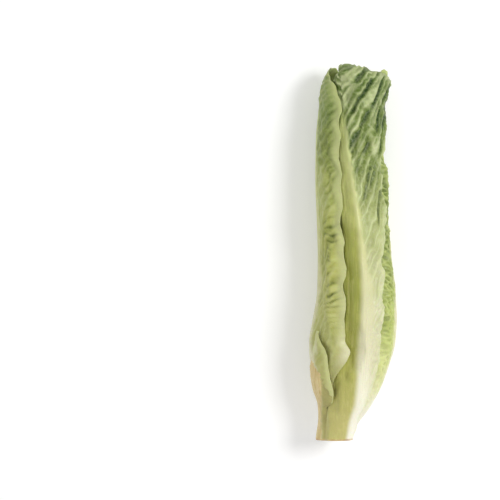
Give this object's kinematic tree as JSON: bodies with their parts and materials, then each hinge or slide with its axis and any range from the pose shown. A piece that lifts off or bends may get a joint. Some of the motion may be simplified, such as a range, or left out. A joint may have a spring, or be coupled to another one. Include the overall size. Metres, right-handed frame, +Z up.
{
  "type": "romaine lettuce heart",
  "caption": "Trimmed romaine lettuce heart lying on its side: long overlapping leaves with broad pale midribs and crinkled green blades round a short cut stem.",
  "frame": {"origin": "middle of the head's footprint, on the surface it lies on", "axes": "+Y along the head from the cut stem to the leaf tips, +X its width, +Z up from the surface"},
  "size_m": [0.0544, 0.234, 0.0499],
  "materials": {
    "outer_leaf": "fresh leaf: crinkled satin green blade running into a smooth cream midrib",
    "heart_leaf": "tender yellow-green leaf with a pale midrib, satin",
    "stem": "moist cream stem with a cut face browned at its edge"
  },
  "bodies": {
    "root": {"leaf_trimmed": "outer_leaf", "leaf_left": "outer_leaf", "leaf_front": "outer_leaf", "leaf_under": "outer_leaf", "leaf_right": "outer_leaf", "leaf_inner_1": "heart_leaf", "leaf_inner_2": "heart_leaf", "leaf_inner_3": "heart_leaf", "leaf_inner_4": "heart_leaf", "leaf_inner_5": "heart_leaf", "leaf_inner_6": "heart_leaf", "leaf_inner_7": "heart_leaf", "leaf_inner_8": "heart_leaf", "stem_core": "stem"}
  },
  "joints": []
}
